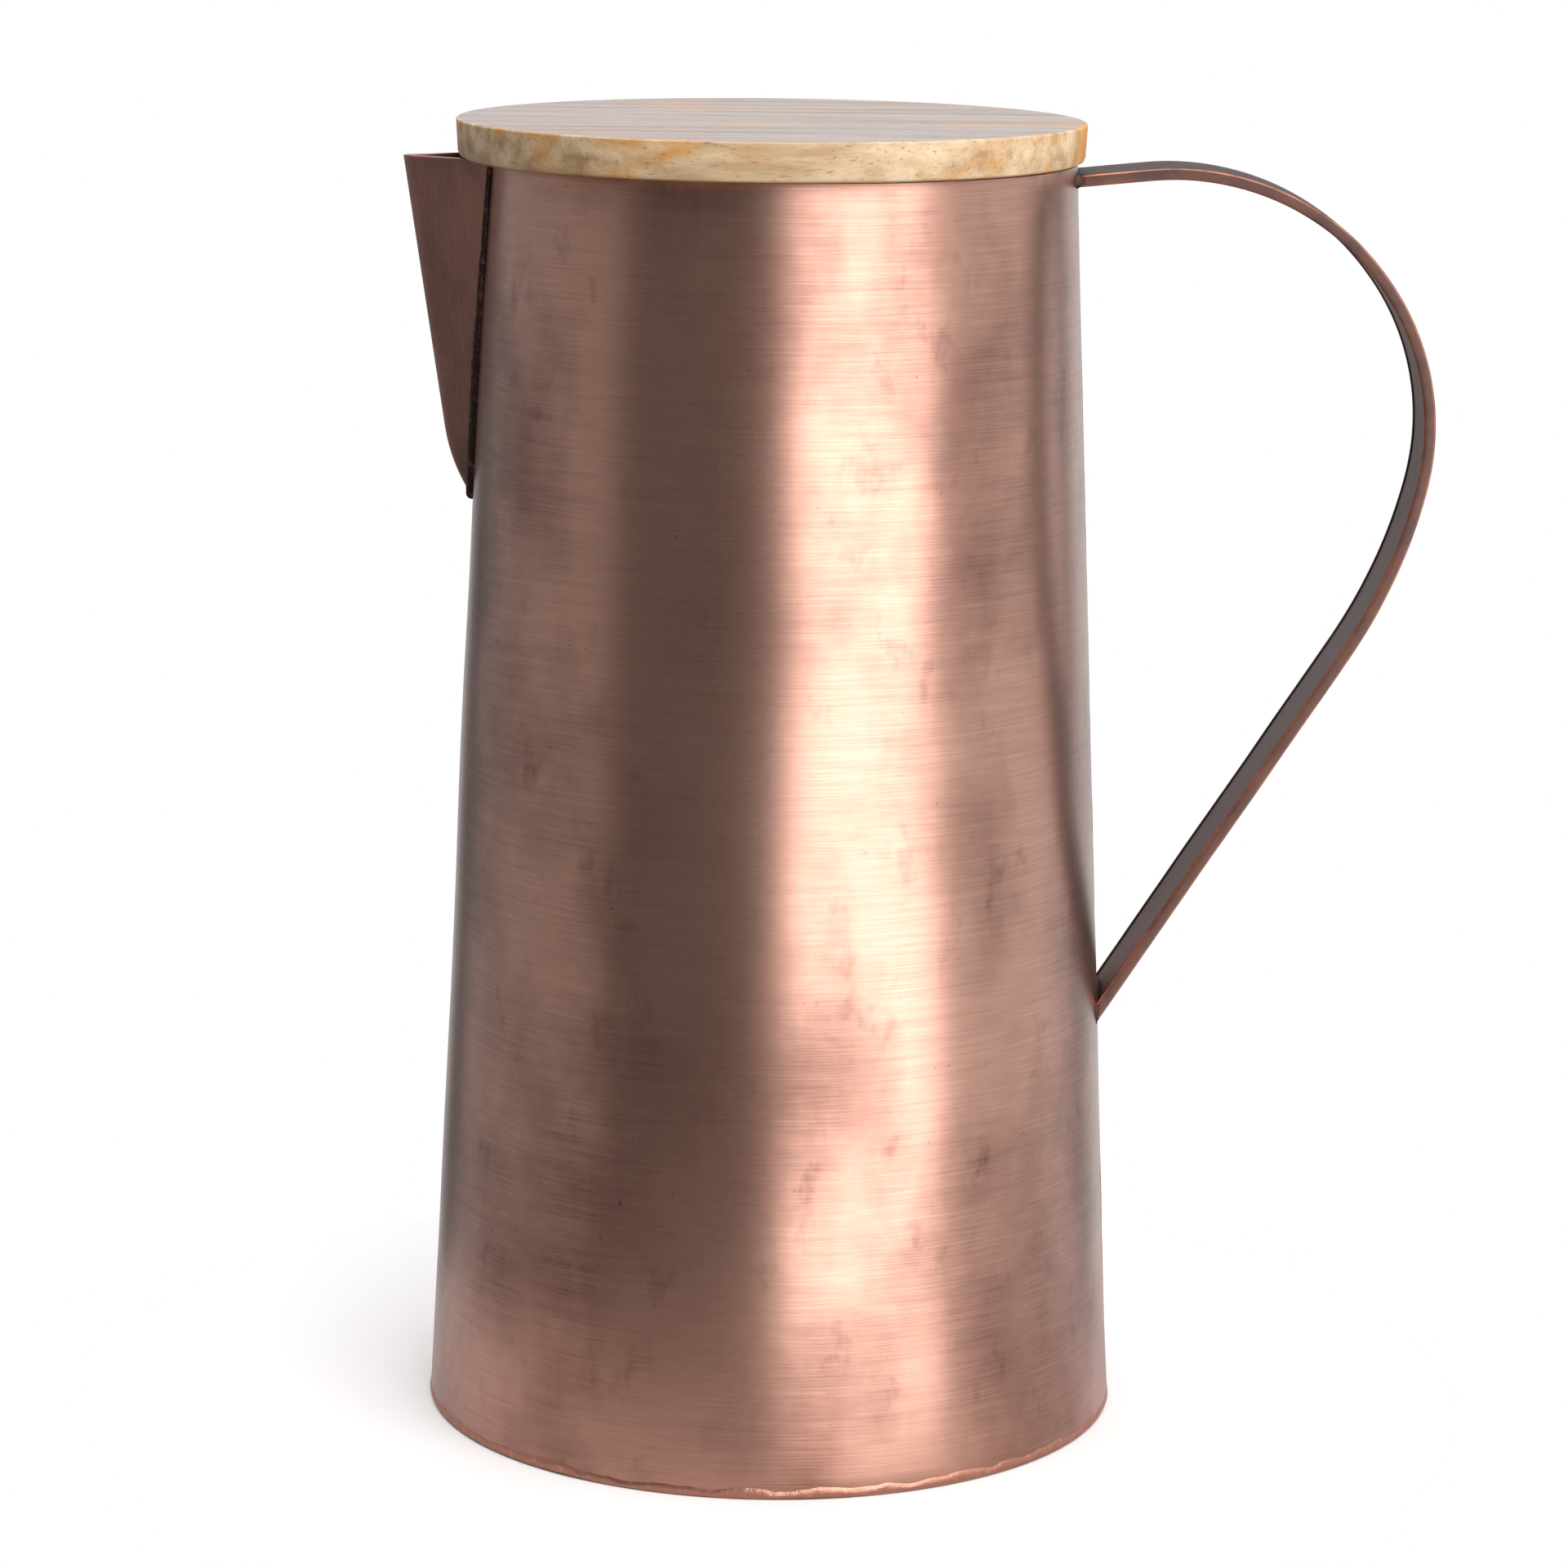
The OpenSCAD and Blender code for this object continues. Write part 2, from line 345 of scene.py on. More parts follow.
handle_copper = worn_copper("copper_darkened_and_worn", film="#423a3b", worn="#c98262",
                            roughness=0.42)
# A paler film than outside, partly painted light on a face that the lamps leave dim.
inner_copper = worn_copper("copper_darkened_inside", film="#7d7576", worn="#a97560",
                           roughness=0.5)
print("handle copper:", handle_copper.name, "and", inner_copper.name)

# %% [markdown]
# ## Braze
# The braze at the spout and the handle was left as it ran: dark, rough and pitted. At the foot and
# along the side it was dressed back and polished with the copper, so it is pale and smoother.

# %% Brazing metal
GRAIN_SIZE = 1.6 * MM
PITTING = 0.3 * MM


def brazing(name, dark, pale, roughness):
    material, tree = new_material(name)
    place = add(tree, "ShaderNodeTexCoord").outputs["Object"]
    grains = add(tree, "ShaderNodeTexNoise",
                 {"Vector": place, "Scale": 1 / GRAIN_SIZE, "Detail": 5.0, "Roughness": 0.7})
    share = add(tree, "ShaderNodeMapRange",
                {"Value": grains.outputs[0], "From Min": 0.52, "From Max": 0.75})
    tint = add(tree, "ShaderNodeMix",
               {SHARE: share.outputs[0], COLOUR_A: colour(dark), COLOUR_B: colour(pale)},
               data_type="RGBA")
    relief = add(tree, "ShaderNodeBump",
                 {"Height": grains.outputs[0], "Strength": 0.6, "Distance": PITTING})
    metal = add(tree, "ShaderNodeBsdfPrincipled",
                {"Base Color": tint.outputs[MIXED], "Metallic": 1.0, "Roughness": roughness,
                 "Normal": relief.outputs[0]})
    add(tree, "ShaderNodeOutputMaterial", {"Surface": metal.outputs[0]})
    return material


rough_braze = brazing("braze_darkened", dark="#45332f", pale="#8d7468", roughness=0.5)
dressed_braze = brazing("braze_dressed", dark="#c88f7b", pale="#dfae99", roughness=0.32)
print("braze:", rough_braze.name, "and", dressed_braze.name)

# %% [markdown]
# ## Mango wood
# The lid is sanded mango wood: pale, with brown streaks and fine pores that run along the grain,
# which lies from spout to handle. An attribute, sanded_and_sheen, is 1 on the top face, which is
# painted greyer: partly where sanding left the wood greyer, and partly a painted sheen of the pale
# room. The sides keep more of the golden stain that mango wood often has.

# %% Sanded wood
# The size of each kind of mark, along the grain and across it
STREAKS = [70 * MM, 5 * MM, 5 * MM]
PORES = [3.5 * MM, 0.4 * MM, 0.4 * MM]
STAINS = [24 * MM, 13 * MM, 13 * MM]
PORE_DEPTH = 0.15 * MM


def mango_wood():
    """Streaks, pores and stains are long along X, which is the way that the grain lies."""
    material, tree = new_material("mango_wood_sanded")
    place = add(tree, "ShaderNodeTexCoord").outputs["Object"]
    sanded_and_sheen = add(tree, "ShaderNodeAttribute", attribute_name="sanded_and_sheen").outputs["Fac"]
    streaks = mapped_noise(tree, place, STREAKS,
                           detail=6.0, roughness=0.62, low=0.38, high=0.66)
    pores = mapped_noise(tree, place, PORES,
                         detail=2.0, roughness=0.5, low=0.6, high=0.72, top=0.55)
    stains = mapped_noise(tree, place, STAINS,
                          detail=4.0, roughness=0.6, low=0.5, high=0.64)
    side = add(tree, "ShaderNodeMix",
               {SHARE: streaks, COLOUR_A: colour("#dac09c"), COLOUR_B: colour("#a9845b")},
               data_type="RGBA")
    # The top face is greyer: partly sanded wood, partly a painted sheen.
    face = add(tree, "ShaderNodeMix",
               {SHARE: streaks, COLOUR_A: colour("#a99f9a"), COLOUR_B: colour("#90827d")},
               data_type="RGBA")
    ground = add(tree, "ShaderNodeMix",
                 {SHARE: sanded_and_sheen, COLOUR_A: side.outputs[MIXED], COLOUR_B: face.outputs[MIXED]},
                 data_type="RGBA")
    kept = add(tree, "ShaderNodeMapRange", {"Value": sanded_and_sheen, "To Min": 0.95, "To Max": 0.22})
    stain_share = add(tree, "ShaderNodeMath", {0: stains, 1: kept.outputs[0]},
                      operation="MULTIPLY")
    stained = add(tree, "ShaderNodeMix",
                  {SHARE: stain_share.outputs[0], COLOUR_A: ground.outputs[MIXED],
                   COLOUR_B: colour("#c98d42")}, data_type="RGBA")
    finished = add(tree, "ShaderNodeMix",
                   {SHARE: pores, COLOUR_A: stained.outputs[MIXED],
                    COLOUR_B: colour("#6b4a30")}, data_type="RGBA")
    relief = add(tree, "ShaderNodeBump",
                 {"Height": pores, "Strength": 0.3, "Distance": PORE_DEPTH}, invert=True)
    surface = add(tree, "ShaderNodeBsdfPrincipled",
                  {"Base Color": finished.outputs[MIXED], "Roughness": 0.55,
                   "Normal": relief.outputs[0]})
    add(tree, "ShaderNodeOutputMaterial", {"Surface": surface.outputs[0]})
    return material


wood = mango_wood()
print("materials:", sorted(m.name for m in bpy.data.materials))

# %% [markdown]
# ## From bmesh to piece
# Each piece is shaped as a bmesh, in place, and then becomes an object at the origin. It stands for
# the CAD node of the same shape, rides on that node's body and takes the material that it is given.
# A sheet is shaped as a bare surface. Solidify then gives it thickness, inwards, and Bevel eases
# its cut edges, as a file would. Tubes and strips are a closed loop of points that is extruded
# again and again, so two small helpers do that.

# %% Finish a piece
def make_piece(shape, name, material, body, nodes, sharp=35):
    """Edges that turn by more than sharp, in degrees, stay crisp."""
    made = bpy.data.meshes.new(name)
    shape.to_mesh(made)
    shape.free()
    made.polygons.foreach_set("use_smooth", [True] * len(made.polygons))
    made.set_sharp_from_angle(angle=math.radians(sharp))
    made.materials.append(material)
    piece = bpy.data.objects.new(name, made)
    bpy.context.scene.collection.objects.link(piece)
    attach(piece, body)
    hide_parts(*nodes)
    print(name, "has", len(made.polygons), "faces")
    return piece


def widest(node, height, within=1.2 * MM):
    """Largest distance from the jug's axis among a node's points near a height."""
    near = [v.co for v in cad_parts[node].data.vertices if abs(v.co.z - height) < within]
    return max(math.hypot(p.x, p.y) for p in near)


def thicken(piece, depth, eased=0.0, even=False):
    """Gives a sheet its depth, and rounds its cut edges by the eased amount."""
    sheet = piece.modifiers.new("sheet", "SOLIDIFY")
    sheet.thickness = depth
    sheet.offset = -1
    sheet.use_even_offset = even
    if eased:
        edge = piece.modifiers.new("eased_edges", "BEVEL")
        edge.width = eased
        edge.segments = 2
        edge.limit_method = "ANGLE"
        edge.angle_limit = math.radians(60)


def ring_edges(shape, ring):
    return [shape.edges.get(pair) for pair in zip(ring, ring[1:] + ring[:1])]


def next_ring(shape, ring):
    """Extrudes a closed loop of points once, and gives the new points in the same order."""
    made = bmesh.ops.extrude_edge_only(shape, edges=ring_edges(shape, ring))["geom"]
    fresh = {part for part in made if isinstance(part, bmesh.types.BMVert)}
    return [next(e.other_vert(v) for e in v.link_edges if e.other_vert(v) in fresh) for v in ring]


wall_low, wall_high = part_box("body_wall")
WALL_FOOT = wall_low.z
RIM = wall_high.z
FOOT_R = widest("body_wall", WALL_FOOT)
RIM_R = widest("body_wall", RIM)
TAPER = (FOOT_R - RIM_R) / (RIM - WALL_FOOT)


def wall_radius(height):
    return FOOT_R - TAPER * (height - WALL_FOOT)


print("wall radius runs from", round(FOOT_R / MM, 2), "to", round(RIM_R / MM, 2), "mm")

# %% [markdown]
# ## Body wall
# The real wall is a flat blank rolled to a cone, with its two edges butted behind the handle and a
# pouring mouth cut behind the spout. A column of points is spun nearly all the way round, which
# leaves the seam open. Two planes cut the mouth, and a modifier gives the sheet its thickness.
# Hand-rolled sheet is never quite true, so each point moves in by a few tenths of a millimetre:
# too little to see as a dent, and enough to make the reflections waver. The foot stays true, since
# the base disc holds it.

# %% Roll the wall
WALL_T = 1.0 * MM
SEAM_GAP = 0.6 * MM
ROWS = 84
STEPS = 240
SPOUT_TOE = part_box("spout")[0].z
SEAM_HALF = 9.7 * MM
MOUTH_FOOT = 180 * MM
MOUTH_FOOT_HALF = 1.4 * MM
MOUTH_TOP_HALF = 6.5 * MM
# The wall strays by these amounts over these distances, about a line that lies inside it.
SLACK = 0.34 * MM
SLACK_SIZE = 52 * MM
RIPPLE = 0.04 * MM
RIPPLE_SIZE = 17 * MM
INSET = 0.24 * MM
# Below this height the base disc holds the wall true, more and more towards the foot.
HELD_TRUE = 30 * MM
# How strongly each joint darkens the wall, and how far from it that shows: brazing tint by the
# handle, brazing tint and painted shade by the foot and the spout
FOOT_HEAT_AND_SHADE = 0.4
FOOT_HEAT_AND_SHADE_REACH = 60 * MM
SPOUT_JOINT_HEAT_AND_SHADE = 0.4
SPOUT_JOINT_REACH = 18 * MM
HANDLE_JOINT_HEAT = 0.5
HANDLE_JOINT_REACH = 26 * MM
MOST_HEAT_AND_SHADE = 0.8


def wobble(point, size, amount):
    return amount * noise.noise(point / size)


def mouth_half(height):
    return (MOUTH_FOOT_HALF
            + (MOUTH_TOP_HALF - MOUTH_FOOT_HALF) * (height - MOUTH_FOOT) / (RIM - MOUTH_FOOT))


def nearness(distance, reach):
    """1 at a joint, falling smoothly to 0 at the reach."""
    return max(0.0, 1 - distance / reach) ** 2


HANDLE_JOINTS = []
for node in ("handle_braze_upper", "handle_braze_lower"):
    joint_low, joint_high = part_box(node)
    HANDLE_JOINTS.append(Vector((joint_low.x, 0, (joint_low.z + joint_high.z) / 2)))


def heat_and_shade_at(point):
    """How much the wall is darkened here: brazing tint by the handle, brazing tint and painted shade
    by the foot and the spout.
    """
    heat = FOOT_HEAT_AND_SHADE * nearness(point.z, FOOT_HEAT_AND_SHADE_REACH)
    if point.x < 0 and point.z > SPOUT_TOE:
        spout_joint = SEAM_HALF * (point.z - SPOUT_TOE) / (RIM - SPOUT_TOE)
        heat += SPOUT_JOINT_HEAT_AND_SHADE * nearness(abs(abs(point.y) - spout_joint), SPOUT_JOINT_REACH)
    for joint in HANDLE_JOINTS:
        heat += HANDLE_JOINT_HEAT * nearness((point - joint).length, HANDLE_JOINT_REACH)
    return min(heat, MOST_HEAT_AND_SHADE)


shape = bmesh.new()
seam_turn = SEAM_GAP / 2 / RIM_R
column = []
for row in range(ROWS + 1):
    height = WALL_FOOT + (RIM - WALL_FOOT) * row / ROWS
    radius = wall_radius(height)
    place = (radius * math.cos(seam_turn), radius * math.sin(seam_turn), height)
    column.append(shape.verts.new(place))
column_edges = [shape.edges.new(pair) for pair in zip(column, column[1:])]
bmesh.ops.spin(shape, geom=column + column_edges, cent=(0, 0, 0), axis=(0, 0, 1),
               angle=2 * math.pi - 2 * seam_turn, steps=STEPS)
for side in (-1, 1):
    lean = Vector((0, side * (MOUTH_TOP_HALF - MOUTH_FOOT_HALF), RIM - MOUTH_FOOT))
    across = lean.cross(Vector((1, 0, 0))).normalized()
    # Only faces near the mouth are cut, since lower down the planes would leave slivers.
    front = [f for f in shape.faces if f.calc_center_median().x < 0
             and f.calc_center_median().z > MOUTH_FOOT - 5 * MM]
    parts = front + list({e for f in front for e in f.edges} | {v for f in front for v in f.verts})
    bmesh.ops.bisect_plane(shape, geom=parts, plane_co=(0, side * MOUTH_FOOT_HALF, MOUTH_FOOT),
                           plane_no=across, dist=1e-6)
mouth = []
for face in shape.faces:
    middle = face.calc_center_median()
    if middle.x < 0 and middle.z > MOUTH_FOOT and abs(middle.y) < mouth_half(middle.z):
        mouth.append(face)
bmesh.ops.delete(shape, geom=mouth, context="FACES")
heat_and_shade_layer = shape.verts.layers.float.new("heat")
for vert in shape.verts:
    outward = Vector((vert.co.x, vert.co.y, 0)).normalized()
    free = min(1.0, vert.co.z / HELD_TRUE)
    stray = wobble(vert.co, SLACK_SIZE, SLACK) + wobble(vert.co, RIPPLE_SIZE, RIPPLE)
    vert.co += outward * (stray - INSET) * free
    # Darker near the foot and beside the spout's joint: brazing tint and painted shade.
    vert[heat_and_shade_layer] = heat_and_shade_at(vert.co)
bmesh.ops.recalc_face_normals(shape, faces=shape.faces)
wall = make_piece(shape, "wall_sheet", body_copper, "jug", ["body_wall"])
thicken(wall, WALL_T, eased=0.25 * MM, even=True)

# %% [markdown]
# ## Base
# The base is a disc under the wall with an eased lower edge. The braze that joins it is dressed
# back until only a thin band shows, and its top edge wavers where the metal ran.

# %% Base disc and its braze
base_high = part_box("base_disc")[1]
BASE_R = base_high.x
shape = bmesh.new()
bmesh.ops.create_circle(shape, cap_ends=True, radius=BASE_R, segments=180)
disc = bmesh.ops.extrude_face_region(shape, geom=shape.faces[:])
lifted = [g for g in disc["geom"] if isinstance(g, bmesh.types.BMVert)]
bmesh.ops.translate(shape, verts=lifted, vec=(0, 0, base_high.z))
lower_edge = [e for e in shape.edges if all(v.co.z < 0.1 * MM for v in e.verts)]
bmesh.ops.bevel(shape, geom=lower_edge, offset=0.4 * MM, offset_type="OFFSET", segments=3,
                profile=0.5, affect="EDGES", material=-1)
bmesh.ops.recalc_face_normals(shape, faces=shape.faces)
make_piece(shape, "base_plate", body_copper, "jug", ["base_disc"])

BAND_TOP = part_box("base_braze")[1].z
BAND_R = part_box("base_braze")[1].y
# The band waves above this height, and keeps to the foot below it.
WAVES_FROM = 1.2 * MM
WAVE_DEPTH = 0.45 * MM
shape = bmesh.new()
# The band's outline, as radius and height: widest low down, and thinning up the wall
profile = [(BASE_R - 0.1 * MM, 0.25 * MM),
           (BAND_R - 0.2 * MM, 0.7 * MM),
           (wall_radius(1.6 * MM) + 0.1 * MM, 1.6 * MM),
           (wall_radius(2.2 * MM) + 0.06 * MM, 2.2 * MM),
           (wall_radius(BAND_TOP) - 0.2 * MM, BAND_TOP)]
points = [shape.verts.new((radius, 0, height)) for radius, height in profile]
edges = [shape.edges.new(pair) for pair in zip(points, points[1:])]
edges.append(shape.edges.new((points[-1], points[0])))
bmesh.ops.spin(shape, geom=points + edges, cent=(0, 0, 0), axis=(0, 0, 1),
               angle=2 * math.pi, steps=360, use_merge=True)
for vert in shape.verts:
    if vert.co.z > WAVES_FROM:
        around = Vector((vert.co.x, vert.co.y, 0))
        wave = noise.noise(around / (7 * MM)) + 0.5 * noise.noise(around / (2.5 * MM))
        vert.co.z -= WAVE_DEPTH * (1 + 1.7 * wave)
bmesh.ops.recalc_face_normals(shape, faces=shape.faces)
make_piece(shape, "base_joint", dressed_braze, "jug", ["base_braze"], sharp=60)

# %% [markdown]
# ## Side seam
# The wall's edges meet behind the handle. The braze fills the gap flush outside and stands a
# little proud inside, so it is a thin strip that follows the wall.

# %% Side seam braze
# The braze is a little thicker than the wall, laps both edges and lies just below the outside.
SEAM_EXTRA = 0.3 * MM
SEAM_LAP = 0.1 * MM
SEAM_SUNK = 0.12 * MM
# Its outside wavers by this much, about a line that lies a little further in.
SEAM_WAVER = 0.05 * MM
SEAM_SETTLED = 0.03 * MM
shape = bmesh.new()
bmesh.ops.create_grid(shape, x_segments=3, y_segments=80, size=0.5)
for vert in shape.verts:
    across = vert.co.x * (SEAM_GAP + 2 * SEAM_LAP)
    height = WALL_FOOT + (RIM - WALL_T - WALL_FOOT) * (vert.co.y + 0.5)
    vert.co = Vector((wall_radius(height) - SEAM_SUNK, across, height))
    vert.co.x += wobble(vert.co, 5 * MM, SEAM_WAVER) - SEAM_SETTLED
bmesh.ops.recalc_face_normals(shape, faces=shape.faces)
shape.faces.ensure_lookup_table()
if shape.faces[0].normal.x < 0:
    bmesh.ops.reverse_faces(shape, faces=shape.faces)
seam = make_piece(shape, "side_joint", dressed_braze, "jug", ["side_seam_braze"])
thicken(seam, WALL_T + SEAM_EXTRA)

# %% [markdown]
# ## Spout
# One sheet is folded to a V and its plates are brazed to the wall, level with the rim. The fold
# leans outwards and curls back to the wall at the toe. A flat grid is bent into that shape: each
# of its rows is a level section through the fold, out along a plate until it meets the wall.

# %% Fold the spout
spout_low, spout_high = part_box("spout")
SPOUT_HALF_ANGLE = math.radians(31)
SPOUT_LEAN = math.radians(8.5)
FOLD_R = 1.6 * MM
TOE_R = 32 * MM
TOE_START = 184 * MM
SPOUT_T = 0.9 * MM
SPOUT_ROWS = 72
PLATE_POINTS = 14
TUCK = 0.65 * MM
# How much the spout darkens beside its joint with the wall, by brazing tint and painted shade, and
# how fast that fades
SPOUT_HEAT_AND_SHADE = 0.6
SPOUT_FADE = 4
# More than 1, so that the grid's points crowd towards the fold
CROWDING = 1.3
SPOUT_REACH = -spout_low.x
LIP = spout_high.z
toe_x = SPOUT_REACH - (LIP - TOE_START) * math.tan(SPOUT_LEAN) - TOE_R * math.cos(SPOUT_LEAN)
toe_z = TOE_START + TOE_R * math.sin(SPOUT_LEAN)


def fold_reach(height):
    if height >= TOE_START:
        return SPOUT_REACH - (LIP - height) * math.tan(SPOUT_LEAN)
    return toe_x + math.sqrt(TOE_R ** 2 - (height - toe_z) ** 2)


def plate_point(height, length):
    """A point of the half section, a length away from the middle of the fold."""
    turn = math.pi / 2 - SPOUT_HALF_ANGLE
    centre = fold_reach(height) - FOLD_R
    if length < turn * FOLD_R:
        angle = length / FOLD_R
        return centre + FOLD_R * math.cos(angle), FOLD_R * math.sin(angle)
    rest = length - turn * FOLD_R
    return (centre + FOLD_R * math.cos(turn) - rest * math.cos(SPOUT_HALF_ANGLE),
            FOLD_R * math.sin(turn) + rest * math.sin(SPOUT_HALF_ANGLE))


def plate_length(height, tuck):
    """How far from the fold the half section meets the wall, found by halving."""
    near, far = 0.0, 40 * MM
    for _ in range(30):
        middle = (near + far) / 2
        if math.hypot(*plate_point(height, middle)) > wall_radius(height) - tuck:
            near = middle
        else:
            far = middle
    return near


TOE_END = spout_low.z + 0.6 * MM
shape = bmesh.new()
heat_and_shade_layer = shape.verts.layers.float.new("heat")
bmesh.ops.create_grid(shape, x_segments=2 * PLATE_POINTS, y_segments=SPOUT_ROWS, size=0.5)
for vert in shape.verts:
    height = TOE_END + (LIP - 0.1 * MM - TOE_END) * (vert.co.y + 0.5)
    side = 1 if vert.co.x > 0 else -1
    share = abs(vert.co.x) * 2
    out, across = plate_point(height, plate_length(height, TUCK) * share ** CROWDING)
    # Darker towards the wall: brazing tint and painted shade in the corner between plate and wall.
    vert[heat_and_shade_layer] = SPOUT_HEAT_AND_SHADE * share ** SPOUT_FADE
    vert.co = Vector((-out, side * across, height))
    vert.co.y += wobble(vert.co, 22 * MM, 0.12 * MM)
bmesh.ops.recalc_face_normals(shape, faces=shape.faces)
foremost = min(shape.faces, key=lambda f: f.calc_center_median().x)
if foremost.normal.x > 0:
    bmesh.ops.reverse_faces(shape, faces=shape.faces)
spout = make_piece(shape, "spout_sheet", spout_copper, "jug", ["spout"])
thicken(spout, SPOUT_T, eased=0.2 * MM)

# %% [markdown]
# ## Spout braze
# The bead runs down one seam, round the toe and up the other. It is thin at the rim and swells
# towards the toe, where more metal ran. A small ring is carried along the seam, and its size
# changes as it goes.

# %% Run the bead along the seam
BEAD_FOOT = TOE_END + 0.2 * MM
BEAD_TOP = RIM - 1.2 * MM
BEAD_STEPS = 56
BEAD_SIDES = 10
# The bead begins to swell at this height, and is full over the next stretch down.
SWELL_FROM = 230 * MM
SWELL_OVER = 36 * MM


def seam_point(height, side):
    out, across = plate_point(height, plate_length(height, 0.0))
    return Vector((-out, side * across, height))


def bead_size(height):
    swell = max(0.0, min(1.0, (SWELL_FROM - height) / SWELL_OVER))
    return (0.5 + 0.62 * swell) * MM


def carry_ring(shape, path, sizes, segments):
    """A tube along a path, with its own radius at each point, closed at both ends."""
    ring = bmesh.ops.create_circle(shape, cap_ends=True, radius=1, segments=segments)["verts"]
    unit = [vert.co.copy() for vert in ring]
    for index, (point, size) in enumerate(zip(path, sizes)):
        if index:
            ring = next_ring(shape, ring)
        ahead = path[min(index + 1, len(path) - 1)] - path[max(index - 1, 0)]
        turned = ahead.to_track_quat("Z", "Y")
        for vert, spot in zip(ring, unit):
            vert.co = point + turned @ (spot * size)
    bmesh.ops.contextual_create(shape, geom=ring_edges(shape, ring))


heights = [BEAD_TOP + (BEAD_FOOT - BEAD_TOP) * i / BEAD_STEPS for i in range(BEAD_STEPS + 1)]
path = [seam_point(h, 1) for h in heights] + [seam_point(h, -1) for h in reversed(heights)]
path_heights = heights + heights[::-1]
sizes = [bead_size(h) * (1 + 0.25 * noise.noise(Vector((h / (3 * MM), i, 0))))
         for i, h in enumerate(path_heights)]
shape = bmesh.new()
carry_ring(shape, path, sizes, BEAD_SIDES)
bmesh.ops.recalc_face_normals(shape, faces=shape.faces)
make_piece(shape, "spout_joint", rough_braze, "jug", ["spout_braze"], sharp=60)

# %% [markdown]
# ## Handle
# The handle is a strip folded to a shallow channel and closed inside by a second strip. Both bend
# along one line: a short straight, a tight bend, an easy bend and a long straight. The line is
# walked in small steps, and a section is carried along it. The ends run into the wall's thickness,
# so that no gap shows. The section's corners carry the wear that the copper's finish reads.

# %% Walk the handle's line
# Each run's length in millimetres, and how many degrees it turns
HANDLE_RUNS = [(13, 0), (91, -110.5), (32.5, -18), (104, 0)]
HANDLE_DROP = 2.6 * MM
HANDLE_HEADING = math.radians(5.6)
HANDLE_T = 2.1 * MM
CHANNEL_T = 0.8 * MM
STRIP_RECESS = 0.3 * MM
WALK_STEP = 1.3 * MM
handle_low, handle_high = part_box("handle_channel")
HANDLE_HALF = (handle_high.y - handle_low.y) / 2


def walk_handle():
    """Each place on the line and the heading there, until the line is back inside the wall."""
    height = RIM - HANDLE_DROP
    place = Vector((wall_radius(height), 0, height))
    heading = HANDLE_HEADING
    line = [(place.copy(), heading)]
    for length, turn in HANDLE_RUNS:
        count = round(length * MM / WALK_STEP)
        for _ in range(count):
            heading += math.radians(turn) / count / 2
            place += Vector((math.cos(heading), 0, math.sin(heading))) * length * MM / count
            heading += math.radians(turn) / count / 2
            line.append((place.copy(), heading))
            if place.x < wall_radius(place.z):
                return line
    return line


handle_line = walk_handle()
print("the handle's line has", len(handle_line), "points and ends at",
      [round(v / MM, 1) for v in handle_line[-1][0]])

# %% [markdown]
# The section of the channel is drawn once, as a loop of points across its width and through its
# thickness. Its outer corners are rounded by folding, and its lips are rounded by wear.

# %% Carry a section along the line
CORNER_R = 0.35 * MM
# How far a hand-bent strip strays from its line, always inwards
UNEVEN = 0.2 * MM
# How deep the handle's ends sit in the wall's sheet
END_DEPTH = 0.85 * MM
# Wear is full near an edge, and has faded to nothing at its reach.
WEAR_REACH = 0.37 * MM
WEAR_FADE = 0.22 * MM
# The gap that lets the strip slip into the channel
STRIP_GAP = 0.02 * MM
STRIP_CHAMFER = 0.15 * MM


def corner(across, through, radius, start, count=4):
    """Points round a quarter circle whose centre is (across, through)."""
    return [(across + radius * math.cos(start + i * math.pi / 2 / count),
             through + radius * math.sin(start + i * math.pi / 2 / count))
            for i in range(count + 1)]


def mirrored(half):
    return half + [(-across, through) for across, through in reversed(half)]


def channel_section():
    top, tip = HANDLE_T / 2, -HANDLE_T / 2
    inside = HANDLE_HALF - CHANNEL_T
    web = top - CHANNEL_T
    lip_r = CHANNEL_T / 2.4
    half = [(0.35 * HANDLE_HALF, top), (0.7 * HANDLE_HALF, top)]
    half += corner(HANDLE_HALF - CORNER_R, top - CORNER_R, CORNER_R, 0)[::-1]
    half += corner(HANDLE_HALF - lip_r, tip + lip_r, lip_r, -math.pi / 2)[::-1]
    half += [(inside, tip + 0.1 * MM), (inside, web), (0.5 * HANDLE_HALF, web)]
    return mirrored(half)


def strip_section():
    half_width = HANDLE_HALF - CHANNEL_T - STRIP_GAP
    low = STRIP_RECESS - HANDLE_T / 2
    high = HANDLE_T / 2 - CHANNEL_T - STRIP_GAP
    half = [(0.4 * half_width, high), (half_width, high), (half_width, low + STRIP_CHAMFER),
            (half_width - STRIP_CHAMFER, low), (0.4 * half_width, low)]
    return mirrored(half)


def wear_at(across, through):
    """1 on the outer corners and lips, falling to 0 a little way in from them."""
    edge = math.hypot(HANDLE_HALF - abs(across), HANDLE_T / 2 - abs(through))
    return max(0.0, min(1.0, (WEAR_REACH - edge) / WEAR_FADE))


def directions(heading):
    """The way along the handle's line, and the way out of its outer face."""
    return (Vector((math.cos(heading), 0, math.sin(heading))),
            Vector((-math.sin(heading), 0, math.cos(heading))))


def trimmed(spot, along, depth):
    """Slides a point along the handle until it lies that deep below the wall's surface."""
    for _ in range(4):
        gap = math.hypot(spot.x, spot.y) - wall_radius(spot.z) + depth
        spot = spot - along * gap / (along.x + TAPER * along.z)
    return spot


